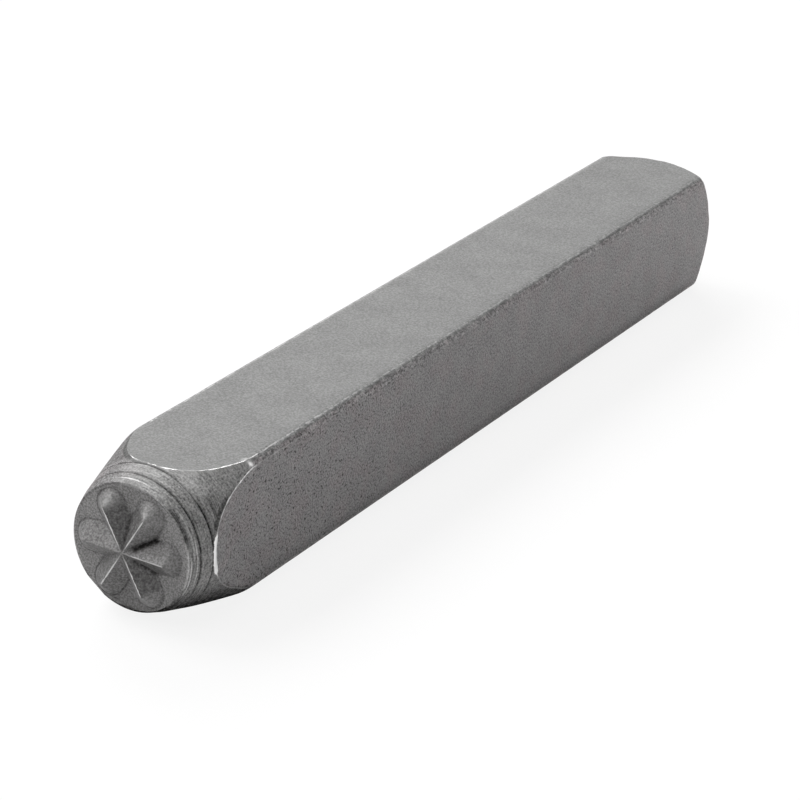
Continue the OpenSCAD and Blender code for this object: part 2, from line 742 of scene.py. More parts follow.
def face_rows(sizes, wear, angle, rim):
    """Rows over the flower, across the fine line round it and on to the rim."""
    outline = outline_radius(sizes, angle)
    moat_edge = outline + np.minimum(wear.moat_width * MOAT_REACH, (rim - outline) * MOAT_LIMIT)
    radii = [outline * share for share in (*inner_shares(FLOWER_STEPS), 1)]
    radii += [outline + (moat_edge - outline) * share for share in MOAT_SHARES]
    radii += [moat_edge + (rim - moat_edge) * share for share in inner_shares(FACE_STEPS)]
    return [(angle, radius, -mark_surface(sizes, wear, angle, radius)) for radius in radii]


def rim_rows(sizes, wear, plan, angle):
    """Rows over the worn edge round the marking face, and the place where they end."""
    radii, places = worn_edge(plan.face, sizes.rim_angle, wear.rim_round, RIM_STEPS)
    chip = rim_chip(wear, plan, angle, 0)
    rows = []
    for k, (radius, place) in enumerate(zip(radii[:-1], places[:-1])):
        worn = chip + CHIP_SLOPE * place - CHIP_SOFT * (1 - k / len(radii))
        rows.append((angle, np.minimum(radius, worn), place))
    return rows, places[-1]


def end_rows(sizes, wear, plan, angle, back):
    """Rows over the chamfer, round its worn edge and in towards the middle of the struck face."""
    radii, places = worn_edge(plan.struck, sizes.chamfer_angle, wear.end_round, END_EDGE_STEPS)
    rows = []
    for share in inner_shares(CHAMFER_STEPS):
        place = back + (plan.end - places[-1] - back) * share
        rows.append((angle, skin_radius(sizes, wear, plan, angle, place), place))
    rows += [(angle, radius, plan.end - gap) for radius, gap in zip(radii[::-1], places[::-1])]
    return rows + [(angle, radii[0] * share, plan.end) for share in inner_shares(END_STEPS)[::-1]]


def build_skin(sizes, wear):
    """Rows of angle, radius and place from the centre of the mark to the centre of the struck face."""
    plan = layout(sizes)
    on_shank = shank_angles(plan)
    on_flower = flower_angles(sizes, len(on_shank))
    rim, rim_end = rim_rows(sizes, wear, plan, on_flower)
    rows = face_rows(sizes, wear, on_flower, rim[0][1])
    plan.face_rows = len(rows)
    rows += rim
    turn_over = plan.rear_groove + sizes.groove_width / 2
    for place in shank_rows(sizes, wear, plan, on_shank, rim_end):
        share = np.clip((place - rim_end) / (turn_over - rim_end), 0, 1)
        angle = on_flower + (on_shank - on_flower) * share * share * (3 - 2 * share)
        rows.append((angle, skin_radius(sizes, wear, plan, angle, place), place))
    rows += end_rows(sizes, wear, plan, on_shank, rows[-1][2])
    angles, radii, places = (np.array(kind) for kind in zip(*(np.broadcast_arrays(*row) for row in rows)))
    return plan, angles, radii, places


# The lists below hold one entry for each petal, anticlockwise from the one that points to +X
# Painted shade on each petal's flanks: the clockwise one and the anticlockwise one
FLANK_SHADE = ((0.42, 0.2), (0.21, 0.47), (0.48, 0.1), (0.3, 0.3), (0.22, 0.3), (0.13, 0.47))
# Painted shade on each petal's tip
TIP_SHADE = (0.28, 0.25, 0.36, 0.24, 0.38, 0.13)
# Painted shadow in the valley, and painted shade on the face, on the anticlockwise side of each petal
VALLEY_SHADOW = (0.98, 0.75, 0.15, 0.35, 0.4, 0.75)
LAND_SHADE = (0.0, 0.14, 0.0, 0.1, 0.32, 0.02)
# Painted shade in the fine line round each petal
RING_SHADE = (0.4, 0.32, 0.65, 0.65, 0.95, 0.6)
# How bright each petal's ridge is: rubbed steel with a painted highlight
CREST_WEAR_AND_HIGHLIGHT = (0.7, 0.85, 1.0, 0.1, 0.85, 0.95)
# Painted highlight on each petal's tip, as rubbed bright steel
TIP_WEAR_AND_HIGHLIGHT = (0.12, 0.14, 0.26, 0.06, 0.0, 0.05)

# The tables below hold pairs of a measure and the strength there, joined by straight lines
# Rubbed steel and painted highlight on the ridges, by distance from the middle of the flower in millimetres
CREST_FADE = ((0.2, 0.15), (0.8, 1))
# Where the flanks give way to the tip, and where the tip's painted highlight lies, by millimetres past a
# ridge's end
TIP_START = ((-0.05, 0), (0.07, 1))
TIP_SHINE = ((-0.3, 0), (0.1, 1))
# How a petal's painted shade, the painted highlight of its tip and the painted shadow of a valley end, by
# millimetres outside the outline
PETAL_SIDE = ((-0.05, 1), (0.05, 0))
TIP_SIDE = ((-0.6, 1), (0, 0))
VALLEY_SIDE = ((0, 1), (0.25, 0))
# Painted shade on the underside of the nose and at the foot of the upright flats, by sine of the angle
# below the axis
UNDERSIDE = ((0.3, 0), (0.5, 0.3), (0.65, 0.65), (0.85, 1))
FLAT_FOOT = ((0.59, 0), (0.705, 0.5))
# How these two end, by millimetres behind the end of the nose and behind the edge of the chamfer
UNDERSIDE_END = ((0, 1), (2, 0))
FOOT_END = ((-2, 1), (0, 0))
# Dark far side of the nose, by angle round the axis in degrees, and how it deepens, by place in millimetres
FAR_SIDE = ((78, 0), (112, 0.45), (150, 0.36), (180, 0))
FAR_SIDE_BACK = ((1.8, 1), (2.3, 1.3))
# Dark scale and painted shade in the grooves, and share of the turned finish on the nose, by angle round
# the axis in degrees
GROOVE_SCALE_AND_SHADE_BY_TURN = ((40, 1), (55, 0.75), (100, 0.75), (110, 1))
TURNED_SHARE = ((-30, 0.75), (60, 1), (85, 1), (120, 0.1))
# Where the shank's own wear takes over, by millimetres behind the end of the nose
SHANK_START = ((0.3, 0), (0.8, 1))
# Wear of the lengthwise edges, by place in millimetres
EDGE_FADE = ((6, 0.85), (18, 0.6), (40, 0.4))
# How bright the edges between nose and flats are, rubbed steel with painted highlights, by angle round the
# axis in degrees
ARC_WEAR_AND_HIGHLIGHT = (
    (-180, 0.5),
    (-140, 0.3),
    (-125, 0.05),
    (-48, 0.05),
    (-40, 0.3),
    (-20, 0.35),
    (-17, 0.5),
    (-14, 4.2),
    (12, 4.2),
    (16, 0.7),
    (20, 0.4),
    (23, 0.6),
    (30, 0.7),
    (40, 0.95),
    (43, 0.8),
    (46, 0.6),
    (57, 0.65),
    (61, 0.3),
    (70, 0.3),
    (74, 1.1),
    (84, 1.1),
    (92, 0.9),
    (108, 0.75),
    (113, 0.0),
    (130, 0.0),
    (140, 0.5),
    (180, 0.5),
)

# How bright the lengthwise edges of the shank are rubbed, beside the ground flats and beside the others
EDGE_WEAR = (0.5, 0.4)
# Pale painted highlights inside the outline of the flower: first and last angle in degrees, strength
PALE_HIGHLIGHTS = ((170, 200, 0.3), (222, 241, 0.4))
# Bright lines on the nose, rubbed steel with painted highlights: place and half width in millimetres, first
# and last angle in degrees, strength
BRIGHT_LINES = (
    (0.04, 0.05, -24, 11, 0.55),
    (0.2, 0.05, -32, 3, 0.7),
    (0.43, 0.04, 6, 44, 0.45),
    (0.57, 0.05, -24, 18, 0.55),
    (0.39, 0.06, 70, 104, 0.4),
    (0.22, 0.05, 60, 80, 0.3),
    (1.3, 0.05, -34, -22, 0.4),
    (2.2, 0.9, 44, 66, 0.22),
    (5.85, 0.3, 42, 47, 1.3),
)
# Dark lines on the nose in the same way
DARK_LINES = (
    (0.06, 0.1, 17, 50, 0.8),
    (0.15, 0.1, 15, 50, 0.8),
    (0.24, 0.06, 15, 46, 0.6),
    (0.3, 0.05, -28, 14, 0.45),
    (0.5, 0.05, -8, 34, 0.4),
    (0.69, 0.04, -20, 38, 0.4),
    (0.83, 0.08, 6, 36, 0.9),
    (0.97, 0.05, 22, 38, 0.6),
    (1.0, 0.05, 8, 40, 0.35),
    (1.25, 0.05, -8, 34, 0.35),
    (1.41, 0.05, 12, 27, 0.45),
    (1.68, 0.13, 6, 44, 0.95),
    (1.83, 0.06, -5, 48, 0.45),
    (2.02, 0.05, 24, 46, 0.3),
    (2.32, 0.11, 18, 41, 0.95),
    (2.52, 0.06, 24, 44, 0.5),
    (2.7, 0.08, 26, 43, 0.7),
    (2.9, 0.05, 28, 42, 0.3),
    (2.9, 0.75, 24, 42, 0.1),
    (0.55, 0.04, 108, 135, 0.35),
    (1.1, 0.05, 112, 140, 0.35),
)
# Dark marks on the face near its rim: far and near side in millimetres from the rim, first and last angle
# and softness of the ends in degrees, strength
# The first mark is painted shade along the worn edge of the rim, the second a scratch
RIM_MARKS = (
    (0.13, 0, 20, 150, 20, 0.4),
    (0.42, 0.3, -112, -97, 8, 0.8),
)
# Softness of the long sides of those marks, and of the ends of the other lines in degrees
MARK_SIDE = 0.06 * MM
LINE_END = 8
# Width of the painted shadow in the valleys, and the stretch of the radius that it fills: start, stop,
# softness
VALLEY_WIDTH = 0.24 * MM
VALLEY_REACH = (0.5 * MM, 2.35 * MM, 0.5 * MM)
# Painted shade round each petal and pale painted highlight inside it: start and stop outside the outline,
# softness
RING_REACH = (-0.03 * MM, 0.07 * MM, 0.04 * MM)
PALE_REACH = (-0.17 * MM, -0.05 * MM, 0.05 * MM)
# The dark line comes and goes over swells of this size, by so much round its mean strength
RING_SWELL = 0.5 * MM
RING_MEAN = 0.6
RING_SWING = 0.4
# Painted shade on the nose beside the right-hand arc: heights above the flat, angles in degrees, strength
ARC_SHADE_HEIGHTS = (-0.2 * MM, -0.02 * MM, 0.05 * MM)
ARC_SHADE_ANGLES = (18, 36, 6)
ARC_SHADE = 0.65
# Half width of the dark scale and painted shade in the turned grooves, and its strength
GROOVE_SCALE_AND_SHADE_REACH = 0.1 * MM
GROOVE_SCALE_AND_SHADE = 0.9
# The painted shade underneath reaches this far over the edges of the flats, and the ground finish this far
# past them
UNDERSIDE_LAP = 0.1 * MM
GROUND_LAP = 0.2 * MM
# Place of the marking face in millimetres for the finish, and ridge distance away from the face
FACE_PLACE = -0.3
NO_RIDGE = 5 * MM


def window(value, start, stop, soft):
    """One from start to stop and nought outside, with soft ends."""
    rise = np.clip((value - start) / soft + 0.5, 0, 1)
    fall = np.clip((stop - value) / soft + 0.5, 0, 1)
    return np.minimum(rise, fall)


def follow(table, value):
    """Strength at a value, on the straight lines between the pairs of a table."""
    return np.interp(value, *zip(*table))


def spots(sizes, wear, plan, angle, radius, place):
    """Where each point lies, and on which surface."""
    skin = SimpleNamespace(radius=radius, place=place)
    skin.points = to_points(angle, radius, place)
    skin.degrees = (np.degrees(angle) + 180) % 360 - 180
    skin.down = -np.sin(angle)
    skin.past_nose = (place - plan.nose_end) / MM
    skin.gap = turned_radius(sizes, wear, plan, place) - milled_radius(sizes, wear, plan, angle, place)
    skin.on_face = np.broadcast_to(np.arange(len(angle))[:, None] < plan.face_rows, angle.shape)
    skin.nose = ~skin.on_face & (place < plan.nose_end) & (skin.gap < 0)
    skin.level_flat = np.abs(skin.down) > math.sqrt(0.5)
    petal, skin.turn = around_petals(sizes, angle)
    skin.petal = petal % len(CREST_WEAR_AND_HIGHLIGHT)
    skin.valley = np.where(skin.turn > 0, skin.petal, (skin.petal - 1) % len(VALLEY_SHADOW))
    skin.ridge = ridge_distance(sizes, angle, radius)
    skin.outside = skin.ridge - sizes.petal_half_width
    skin.past_ridge = (radius * np.cos(skin.turn) - sizes.ridge_length) / MM
    return skin


def strokes(lines, skin):
    """Strength of the lines that run part of the way round the nose."""
    strength = np.zeros_like(skin.place)
    for middle, width, start, stop, weight in lines:
        across = np.clip(1 - np.abs(skin.place / MM - middle) / width, 0, 1)
        strength = np.maximum(strength, weight * across * window(skin.degrees, start, stop, LINE_END))
    return strength


def valley_shadow(sizes, skin):
    """Painted shadow in the valleys between the petals."""
    half_sector = math.pi / sizes.petal_count
    off_valley = skin.radius * np.sin(half_sector - np.abs(skin.turn))
    filled = np.exp(-((off_valley / VALLEY_WIDTH) ** 2)) * window(skin.radius, *VALLEY_REACH)
    return filled * np.take(VALLEY_SHADOW, skin.valley) * follow(VALLEY_SIDE, skin.outside / MM)


def petal_shade(skin):
    """Painted shade on the flanks and tips of the petals and on the face beside them."""
    clockwise, anticlockwise = np.transpose(FLANK_SHADE)
    flank = np.where(skin.turn > 0, anticlockwise[skin.petal], clockwise[skin.petal])
    flank = flank + (np.take(TIP_SHADE, skin.petal) - flank) * follow(TIP_START, skin.past_ridge)
    inside = follow(PETAL_SIDE, skin.outside / MM)
    return flank * inside + np.take(LAND_SHADE, skin.valley) * (1 - inside)


def face_shade_and_marks(sizes, plan, skin):
    """Painted shadow and shade on the marking face and in the fine line round the petals, and dark marks
    near the rim.
    """
    slow = RING_MEAN + RING_SWING * smooth_noise(skin.points, RING_SWELL)
    scale_and_shade = [valley_shadow(sizes, skin), petal_shade(skin)]
    scale_and_shade.append(window(skin.outside, *RING_REACH) * slow * np.take(RING_SHADE, skin.petal))
    for far, near, start, stop, soft, weight in RIM_MARKS:
        across = window(skin.radius, plan.face - far * MM, plan.face - near * MM, MARK_SIDE)
        scale_and_shade.append(weight * across * window(skin.degrees, start, stop, soft))
    return np.maximum.reduce(scale_and_shade)


def shank_scale_and_shade(plan, skin):
    """Darkening behind the face: painted shade low on nose and flats and beside the right-hand arc, a
    darker far side of the nose, dark scale and painted shade in the grooves, and dark lines.
    """
    under = follow(UNDERSIDE, skin.down) * (skin.gap < UNDERSIDE_LAP)
    under = under * follow(UNDERSIDE_END, skin.past_nose)
    foot = follow(FLAT_FOOT, skin.down) * ~skin.level_flat
    foot = foot * follow(FOOT_END, (skin.place - plan.chamfer) / MM)
    far_side = follow(FAR_SIDE, skin.degrees) * skin.nose * follow(FAR_SIDE_BACK, skin.place / MM)
    beside_arc = window(skin.gap, *ARC_SHADE_HEIGHTS) * window(skin.degrees, *ARC_SHADE_ANGLES) * skin.nose
    scale_and_shade = [under, foot, far_side, ARC_SHADE * beside_arc, strokes(DARK_LINES, skin)]
    for groove in (plan.front_groove, plan.rear_groove):
        across = np.clip(1 - np.abs(skin.place - groove) / GROOVE_SCALE_AND_SHADE_REACH, 0, 1)
        scale_and_shade.append(GROOVE_SCALE_AND_SHADE * across * follow(GROOVE_SCALE_AND_SHADE_BY_TURN, skin.degrees))
    return np.maximum.reduce(scale_and_shade)


def petal_shine(skin):
    """Painted highlights on the petals' tips, as rubbed bright steel, and pale painted highlights inside
    their outline.
    """
    shine = follow(TIP_SHINE, skin.past_ridge) * follow(TIP_SIDE, skin.outside / MM)
    shine = shine * np.take(TIP_WEAR_AND_HIGHLIGHT, skin.petal)
    inner_line = window(skin.outside, *PALE_REACH)
    for start, stop, weight in PALE_HIGHLIGHTS:
        shine = np.maximum(shine, weight * inner_line * window(skin.degrees % 360, start, stop, LINE_END))
    return shine


def edge_wear_and_highlight(skin, on_shank):
    """How bright the edges between nose and flats are, rubbed steel with painted highlights, and how much
    the lengthwise edges of the shank are rubbed.
    """
    lengthwise = np.where(skin.level_flat, *EDGE_WEAR) * follow(EDGE_FADE, skin.place / MM)
    return follow(ARC_WEAR_AND_HIGHLIGHT, skin.degrees) * (1 - on_shank) + lengthwise * on_shank


def painted(sizes, wear, plan, angle, radius, place):
    """Numbers at each point that the finish, with its painted shade and painted highlights, is painted by.
    """
    skin = spots(sizes, wear, plan, angle, radius, place)
    crest = np.take(CREST_WEAR_AND_HIGHLIGHT, skin.petal) * follow(CREST_FADE, radius / MM)
    on_shank = follow(SHANK_START, skin.past_nose)
    return {
        "milled_gap": skin.gap / MM,
        "ridge_gap": np.where(skin.on_face, skin.ridge, NO_RIDGE) / MM,
        "place": np.where(skin.on_face, FACE_PLACE, place / MM),
        "turn": np.abs(skin.degrees),
        "ground": skin.level_flat & (skin.gap > -GROUND_LAP),
        "turned": skin.nose * follow(TURNED_SHARE, skin.degrees),
        "on_face": skin.on_face,
        "crest_wear_and_highlight": crest * skin.on_face,
        # Dark scale, with painted shade and shadow on the flower, under the nose and in the grooves
        "scale_and_shade": np.where(skin.on_face, face_shade_and_marks(sizes, plan, skin), shank_scale_and_shade(plan, skin)),
        # Painted highlights on the petals' tips and inside their outline, and bright lines on the nose with
        # painted highlights
        "bright_lines": np.where(skin.on_face, petal_shine(skin), strokes(BRIGHT_LINES, skin)),
        # Rubbed steel, with painted highlights on the edges between nose and flats
        "rubbed_and_highlight": edge_wear_and_highlight(skin, on_shank) * ~skin.on_face,
        "shank": on_shank * (place < plan.chamfer),
    }


def write_attribute(mesh, name, values):
    """Stores one number at each point of the mesh. The two end points take that of the nearest row."""
    attribute = mesh.attributes.new(name, "FLOAT", "POINT")
    whole = np.concatenate([values.ravel(), [values[0, 0], values[-1, 0]]])
    attribute.data.foreach_set("value", whole.astype(np.float32))


def skin_mesh(sizes, wear):
    """Closed mesh of the whole stamp with the numbers that its finish, with its painted shade and painted
    highlights, is painted by.
    """
    plan, angle, radius, place = build_skin(sizes, wear)
    rows, columns = angle.shape
    crest_height = mark_surface(sizes, wear, np.zeros(1), np.zeros(1))[0]
    ends = to_points(np.zeros(2), np.zeros(2), np.array([-crest_height, plan.end]))
    points = np.vstack([to_points(angle, radius, place).reshape(-1, 3), ends])
    front_end, back_end = rows * columns, rows * columns + 1
    ring = np.arange(columns)
    next_one = (ring + 1) % columns
    starts = np.arange(rows - 1)[:, None] * columns
    corners = (starts + ring, starts + columns + ring, starts + columns + next_one, starts + next_one)
    last = (rows - 1) * columns
    faces = np.stack(corners, -1).reshape(-1, 4).tolist()
    faces += np.stack([np.full(columns, front_end), ring, next_one], 1).tolist()
    faces += np.stack([last + ring, np.full(columns, back_end), last + next_one], 1).tolist()
    mesh = bpy.data.meshes.new(PIECE)
    mesh.from_pydata(points.tolist(), [], faces)
    mesh.shade_smooth()
    for name, values in painted(sizes, wear, plan, angle, radius, place).items():
        write_attribute(mesh, name, values)
    return mesh


# Sockets of a mix node that take its two colours, and the one that gives their mix
FIRST_COLOUR = 6
SECOND_COLOUR = 7
MIXED_COLOUR = 2


class Nodes:
    """Short ways to add and join shader nodes."""

    def __init__(self, tree):
        self.tree = tree
        tree.nodes.clear()

    def add(self, kind, inputs=None, **settings):
        """Adds a node, sets its options, and joins or sets its inputs."""
        node = self.tree.nodes.new(kind)
        for name, value in settings.items():
            setattr(node, name, value)
        for name, value in (inputs or {}).items():
            self.put(node.inputs[name], value)
        return node

    def put(self, socket, value):
        """Joins an output to a socket, or sets a plain value on it."""
        if isinstance(value, bpy.types.NodeSocket):
            self.tree.links.new(value, socket)
        else:
            socket.default_value = value

    def maths(self, operation, first, second=0.0, clamp=False):
        """One sum on two numbers."""
        inputs = {0: first, 1: second}
        return self.add("ShaderNodeMath", inputs, operation=operation, use_clamp=clamp).outputs[0]

    def plus(self, first, second):
        """Two numbers added up."""
        return self.maths("ADD", first, second)

    def times(self, first, second, clamp=False):
        """One number times another."""
        return self.maths("MULTIPLY", first, second, clamp)

    def larger(self, first, second, clamp=False):
        """The larger of two numbers."""
        return self.maths("MAXIMUM", first, second, clamp)

    def step(self, value, low, high, start=0.0, stop=1.0):
        """Smooth change from start to stop as the value goes from low to high."""
        inputs = {"Value": value, "From Min": low, "From Max": high, "To Min": start, "To Max": stop}
        return self.add("ShaderNodeMapRange", inputs, interpolation_type="SMOOTHSTEP").outputs[0]

    def choose(self, share, first, second):
        """Smooth change from the first number to the second as the share goes from nought to one."""
        return self.step(share, 0.0, 1.0, first, second)

    def blend(self, share, first, second):
        """Mix of two colours."""
        inputs = {"Factor": share, FIRST_COLOUR: first, SECOND_COLOUR: second}
        return self.add("ShaderNodeMix", inputs, data_type="RGBA").outputs[MIXED_COLOUR]

    def number(self, name):
        """A number stored at the points of the mesh."""
        return self.add("ShaderNodeAttribute", attribute_name=name).outputs["Fac"]

    def vector(self, operation, inputs):
        """One sum on places or colours."""
        return self.add("ShaderNodeVectorMath", inputs, operation=operation).outputs[0]

    def scaled(self, colour, share):
        """A colour made lighter or darker, or a place in other units."""
        return self.vector("SCALE", {0: colour, "Scale": share})

    def spot(self):
        """Place on the object in millimetres."""
        return self.scaled(self.add("ShaderNodeTexCoord").outputs["Object"], 1 / MM)

    def noise(self, kind, spot):
        """Plain noise of a kind at a place."""
        inputs = {"Vector": spot, "Scale": kind.scale, "Detail": kind.detail, "Roughness": kind.rough}
        return self.add("ShaderNodeTexNoise", inputs).outputs["Fac"]

    def speckle(self, kind, spot, start=0.0, stop=1.0):
        """Noise of a kind at a place, stretched to go from start to stop."""
        return self.step(self.noise(kind, spot), kind.low, kind.high, start, stop)


def new_material(name):
    """An empty material and its nodes."""
    material = bpy.data.materials.new(name)
    material.use_nodes = True
    return material, Nodes(material.node_tree)


# A noise: swells to the millimetre, the two values that its change lies between, detail and roughness
Speckle = namedtuple("Speckle", "scale low high detail rough", defaults=(2.0, 0.5))
BLOOM = Speckle(0.7, 0.45, 0.62, 3.0)
GRAIN = Speckle(9.0, 0.3, 0.7)
CLOUDS = Speckle(0.5, 0.3, 0.7)
STREAKS = Speckle(1.0, 0.3, 0.7, 1.0)
PITS = Speckle(5.0, 0.6, 0.7, 1.5)
SCALE_AND_SHADE_CLOUDS = Speckle(5.0, 0.3, 0.65)
RAGGED_SIDE = Speckle(4.0, 0.3, 0.7, 3.0)
MOTTLE = Speckle(5.5, 0.36, 0.64, 3.0, 0.6)
EDGE_BREAKS = Speckle(3.5, 0.38, 0.62, 3.0)
CREST_BREAKS = Speckle(3.0, 0.38, 0.62, 3.0)
LINE_BREAKS = Speckle(4.0, 0.35, 0.6)
RELIEF = Speckle(9.0, 0.0, 1.0, 3.0, 0.6)
# A change of the finish: two values of what it follows, and the strengths there
Change = namedtuple("Change", "low high start stop")

# How far the grain swings on the skin, on the marking face and on the ground flats
SKIN_SWING = 0.38
FACE_SWING = 0.34
GROUND_SWING = 0.2
# The same on the nose, by degrees from the right-hand side
NOSE_SWING = Change(60.0, 90.0, 0.38, 0.22)
# Shares between which clouds, the dark scale with its painted shade, and the bright lines with their
# painted highlights come and go
CLOUD_SHARES = (0.95, 1.05)
SCALE_AND_SHADE_SHARES = (0.75, 1.15)
LINE_SHARES = (0.5, 1.1)
# Places between which the skin grows lighter towards the struck end, and by how much
FAR_SKIN = (25.0, 62.0)
FAR_SKIN_SHARE = 1.2
# Streaks on the nose: how often they change with the place and with the angle, and their swing
STREAK_STRETCH = (9.0, 0.08, 0.0)
STREAK_SWING = 0.2
# Strength of the pits on the skin, by place, and on smooth steel
SKIN_PITS = Change(12.0, 30.0, 0.8, 0.35)
SMOOTH_PITS = 0.15
# Side of a corner band, by millimetres above the flat, and how far it strays
BAND_SIDE = Change(-0.08, 0.06, 1.0, 0.0)
SIDE_SWING = 0.2
# Mottle of the corner bands: its stretch, and its two strengths
MOTTLE_STRETCH = (1.0, 0.45, 1.0)
MOTTLE_SHARES = (0.65, -0.23)
# What the half beside the right-hand flat adds to it, by degrees from the right-hand side
SIDE_HALF = Change(44.0, 46.0, -0.17, 0.0)
# Strength of the bands, by place and by degrees from the right-hand side
BAND_BY_PLACE = Change(14.0, 30.0, 1.0, 0.75)
BAND_BY_TURN = Change(70.0, 110.0, 1.0, 0.3)
# Least and most share of a bright edge's width on the nose and on the shank, where it breaks off
NOSE_EDGE_SHARES = (0.25, 1.0)
SHANK_EDGE_SHARES = (-0.4, 1.8)
# Share of its width that is left at a break
BROKEN_SHARE = 0.01
# Least share where an edge is rubbed hard and strongly highlighted, by its wear and painted highlight
HARD_RUBBED_AND_HIGHLIGHT = Change(1.2, 2.4, 0.0, 0.78)
# Half width of a bright edge in millimetres, and how much it grows with its wear and painted highlight
EDGE_WIDTH = 0.02
WIDTH_BY_WEAR_AND_HIGHLIGHT = 0.03
# Middle of a bright edge in millimetres above the flat, and how its sides fall off, by half widths
EDGE_MIDDLE = 0.02
EDGE_SIDE = Change(0.5, 1.2, 1.0, 0.0)
# Bright crest of a ridge: half width that is wholly bright, least and most reach in millimetres, strength
CREST_CORE = 0.01
CREST_REACH = (0.03, 0.07)
CREST_SHINE = 0.9
# Strength and depth of the fine relief
RELIEF_STRENGTH = 0.25
RELIEF_DEPTH = 0.03 * MM
# Where the dark scale and painted shade are this strong, the steel has no reflection of its own
DULL_SCALE_AND_SHADE = 0.6


def steel_colour(nodes, spot, finish):
    """Plain colour of each kind of surface, with faint brown patches on the blasted skin."""
    bloom = nodes.speckle(BLOOM, spot)
    colour = nodes.blend(bloom, (*finish.skin_colour, 1), (*finish.bloom_colour, 1))
    colour = nodes.blend(nodes.number("ground"), colour, (*finish.ground_colour, 1))
    colour = nodes.blend(nodes.number("turned"), colour, (*finish.turned_colour, 1))
    return nodes.blend(nodes.number("on_face"), colour, (*finish.face_colour, 1))


def steel_grain(nodes, spot):
    """How much lighter or darker than its plain colour the steel is, with streaks on the turned nose."""
    ground, turned, place = nodes.number("ground"), nodes.number("turned"), nodes.number("place")
    swing = nodes.choose(nodes.number("on_face"), SKIN_SWING, FACE_SWING)
    swing = nodes.choose(turned, swing, nodes.step(nodes.number("turn"), *NOSE_SWING))
    swing = nodes.choose(ground, swing, GROUND_SWING)
    shade = nodes.times(nodes.speckle(GRAIN, spot, -1.0, 1.0), swing)
    shade = nodes.plus(shade, nodes.speckle(CLOUDS, spot, *CLOUD_SHARES))
    shade = nodes.times(shade, nodes.step(place, *FAR_SKIN, 1.0, nodes.choose(ground, FAR_SKIN_SHARE, 1.0)))
    along = nodes.add("ShaderNodeCombineXYZ", {"X": place, "Y": nodes.number("turn")}).outputs[0]
    along = nodes.vector("MULTIPLY", {0: along, 1: STREAK_STRETCH})
    streaks = nodes.speckle(STREAKS, along, -STREAK_SWING, STREAK_SWING)
    return nodes.plus(shade, nodes.times(streaks, turned))


def corner_bands(nodes, spot):
    """How much lighter or darker the mottled bands along the corners of the shank are."""
    swing = nodes.speckle(RAGGED_SIDE, spot, -SIDE_SWING, SIDE_SWING)
    ragged = nodes.plus(nodes.number("milled_gap"), swing)
    band = nodes.times(nodes.step(ragged, *BAND_SIDE), nodes.number("shank"))
    stretched = nodes.vector("MULTIPLY", {0: spot, 1: MOTTLE_STRETCH})
    turn = nodes.number("turn")
    mottle = nodes.plus(nodes.speckle(MOTTLE, stretched, *MOTTLE_SHARES), nodes.step(turn, *SIDE_HALF))
    fade = nodes.times(nodes.step(nodes.number("place"), *BAND_BY_PLACE), nodes.step(turn, *BAND_BY_TURN))
    return nodes.plus(nodes.times(band, nodes.times(mottle, fade)), 1.0)


def pit_depth(nodes, spot, smooth):
    """Strength of the pits, which are fewer far along the stamp and faint on smooth steel."""
    fine = nodes.larger(smooth, nodes.number("on_face"))
    share = nodes.choose(fine, nodes.step(nodes.number("place"), *SKIN_PITS), SMOOTH_PITS)
    return nodes.times(nodes.speckle(PITS, spot), share)


def bright_edges(nodes, spot):
    """Bright lines on the edges of the flats, rubbed steel with painted highlights, which widen and break
    off with the noise.
    """
    rubbed_and_highlight, shank = nodes.number("rubbed_and_highlight"), nodes.number("shank")
    least, most = (nodes.choose(shank, *shares) for shares in zip(NOSE_EDGE_SHARES, SHANK_EDGE_SHARES))
    breaks = nodes.larger(nodes.speckle(EDGE_BREAKS, spot, least, most), BROKEN_SHARE)
    breaks = nodes.larger(breaks, nodes.step(rubbed_and_highlight, *HARD_RUBBED_AND_HIGHLIGHT))
    width = nodes.times(nodes.plus(nodes.times(rubbed_and_highlight, WIDTH_BY_WEAR_AND_HIGHLIGHT), EDGE_WIDTH), breaks)
    away = nodes.maths("ABSOLUTE", nodes.maths("SUBTRACT", nodes.number("milled_gap"), EDGE_MIDDLE))
    return nodes.times(nodes.step(nodes.maths("DIVIDE", away, width), *EDGE_SIDE), rubbed_and_highlight, clamp=True)


def bright_crests(nodes, spot):
    """Bright crests of the petals, rubbed steel with a painted highlight, broken by the noise."""
    reach = nodes.speckle(CREST_BREAKS, spot, *CREST_REACH)
    crest = nodes.step(nodes.number("ridge_gap"), CREST_CORE, reach, CREST_SHINE, 0.0)
    return nodes.times(crest, nodes.number("crest_wear_and_highlight"))


